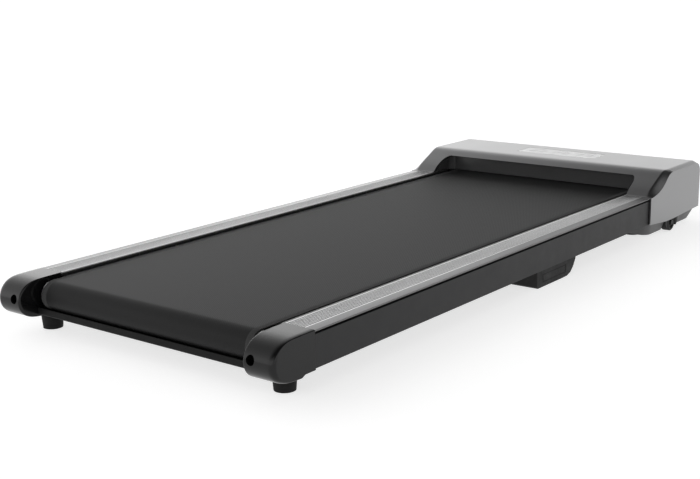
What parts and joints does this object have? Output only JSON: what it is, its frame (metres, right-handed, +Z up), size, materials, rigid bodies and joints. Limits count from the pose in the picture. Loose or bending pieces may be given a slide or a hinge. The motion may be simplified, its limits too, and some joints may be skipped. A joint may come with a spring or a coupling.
{
  "type": "walking treadmill",
  "caption": "Flat under-desk walking treadmill with a looped running belt, ribbed side rails, rounded rear end caps and a low motor hood with a display window.",
  "frame": {"origin": "centre of the footprint, on the floor that the feet stand on", "axes": "+Z up, +Y from the rear roller towards the motor hood (the way the walker faces), +X to the walker's right"},
  "size_m": [0.538, 1.276, 0.1213],
  "materials": {
    "frame_paint": "semi-gloss black powder coat",
    "trim_aluminium": "satin anodised, ribbed",
    "skirt_black": "satin black",
    "guide_black": "satin",
    "cap_black": "glossy dark grey",
    "hood_silver": "satin silver-grey paint",
    "throat_black": "glossy black",
    "pan_black": "fine grain",
    "display_window": "smoked clear, pale",
    "board_green": "solder mask",
    "belt_black": "fine textured top",
    "deck_board": "waxed film on fibreboard",
    "rubber_black": "matte",
    "fastener_zinc": "zinc plated",
    "roller_steel": "turned",
    "bearing_steel": "ground",
    "axle_steel": "bright drawn",
    "pulley_black": "moulded",
    "motor_paint": "black paint",
    "cast_aluminium": "die cast",
    "armature_steel": "laminated and wound",
    "drive_belt": "poly-V",
    "inlet_black": "moulded",
    "rocker_red": "moulded",
    "button_white": "moulded",
    "wheel_rubber": "moulded",
    "bumper_rubber": "matte",
    "fastener_black": "black oxide"
  },
  "bodies": {
    "treadmill_base": {"frame_rail_left": "frame_paint", "frame_rail_right": "frame_paint", "cross_member_rear": "frame_paint", "cross_member_center": "frame_paint", "cross_member_front": "frame_paint", "cross_member_nose": "frame_paint", "rear_guard": "frame_paint", "motor_plate": "frame_paint", "side_trim_left": "trim_aluminium", "side_trim_right": "trim_aluminium", "side_skirt_left": "skirt_black", "side_skirt_right": "skirt_black", "belt_guide_left": "guide_black", "belt_guide_right": "guide_black", "end_cap_left": "cap_black", "end_cap_right": "cap_black", "motor_hood": "hood_silver", "service_panel": "inlet_black", "throat_panel": "throat_black", "bottom_pan": "pan_black", "display_window": "display_window", "display_board": "board_green", "running_belt": "belt_black", "deck_board": "deck_board", "deck_cushions": "rubber_black", "deck_bolts": "fastener_zinc", "front_axle": "axle_steel", "rear_axle": "axle_steel", "motor_housing": "motor_paint", "motor_end_caps": "cast_aluminium", "motor_clamps": "frame_paint", "drive_belt": "drive_belt", "controller_tray": "pan_black", "controller_board": "board_green", "controller_heatsink": "cast_aluminium", "power_inlet": "inlet_black", "switch_bezel": "inlet_black", "breaker_body": "inlet_black", "speed_sensor": "inlet_black", "wheel_bracket_left": "pan_black", "wheel_bracket_right": "pan_black", "wheel_pins": "axle_steel", "rear_feet": "rubber_black", "front_feet": "rubber_black", "mid_bumper_left": "bumper_rubber", "mid_bumper_right": "bumper_rubber", "tension_bolts": "fastener_zinc", "case_screws": "fastener_black"},
    "drive_roller": {"front_roller": "roller_steel", "front_bearings": "bearing_steel", "drive_pulley": "pulley_black"},
    "rear_roller_body": {"rear_roller": "roller_steel", "rear_bearings": "bearing_steel"},
    "motor_rotor": {"motor_shaft": "axle_steel", "motor_armature": "armature_steel", "motor_pulley": "axle_steel"},
    "wheel_left": {"transport_wheel_left": "wheel_rubber"},
    "wheel_right": {"transport_wheel_right": "wheel_rubber"},
    "rocker": {"power_rocker": "rocker_red"},
    "reset_button": {"breaker_button": "button_white"}
  },
  "joints": [
    {"name": "drive_roller_spin", "type": "hinge", "parent": "treadmill_base", "child": "drive_roller", "pos_m": [0, 0.506, 0.0568], "axis": [1, 0, 0], "continuous": true},
    {"name": "rear_roller_spin", "type": "hinge", "parent": "treadmill_base", "child": "rear_roller_body", "pos_m": [0, -0.586, 0.0568], "axis": [1, 0, 0], "continuous": true},
    {"name": "motor_spin", "type": "hinge", "parent": "treadmill_base", "child": "motor_rotor", "pos_m": [-0.12, 0.578, 0.073], "axis": [1, 0, 0], "continuous": true},
    {"name": "wheel_left_spin", "type": "hinge", "parent": "treadmill_base", "child": "wheel_left", "pos_m": [-0.2565, 0.518, 0.0165], "axis": [1, 0, 0], "continuous": true},
    {"name": "wheel_right_spin", "type": "hinge", "parent": "treadmill_base", "child": "wheel_right", "pos_m": [0.2565, 0.518, 0.0165], "axis": [1, 0, 0], "continuous": true},
    {"name": "power_switch", "type": "hinge", "parent": "treadmill_base", "child": "rocker", "pos_m": [0.133, 0.629, 0.081], "axis": [1, 0, 0], "range_deg": [0, 12]},
    {"name": "breaker_reset", "type": "slide", "parent": "treadmill_base", "child": "reset_button", "axis": [0, -1, 0], "range_m": [0, 0.0025], "stiffness_N_per_m": 600}
  ],
  "couplings": [
    {"joint": "rear_roller_spin", "follows": "drive_roller_spin", "ratio": 1},
    {"joint": "motor_spin", "follows": "drive_roller_spin", "ratio": 2.4167}
  ]
}
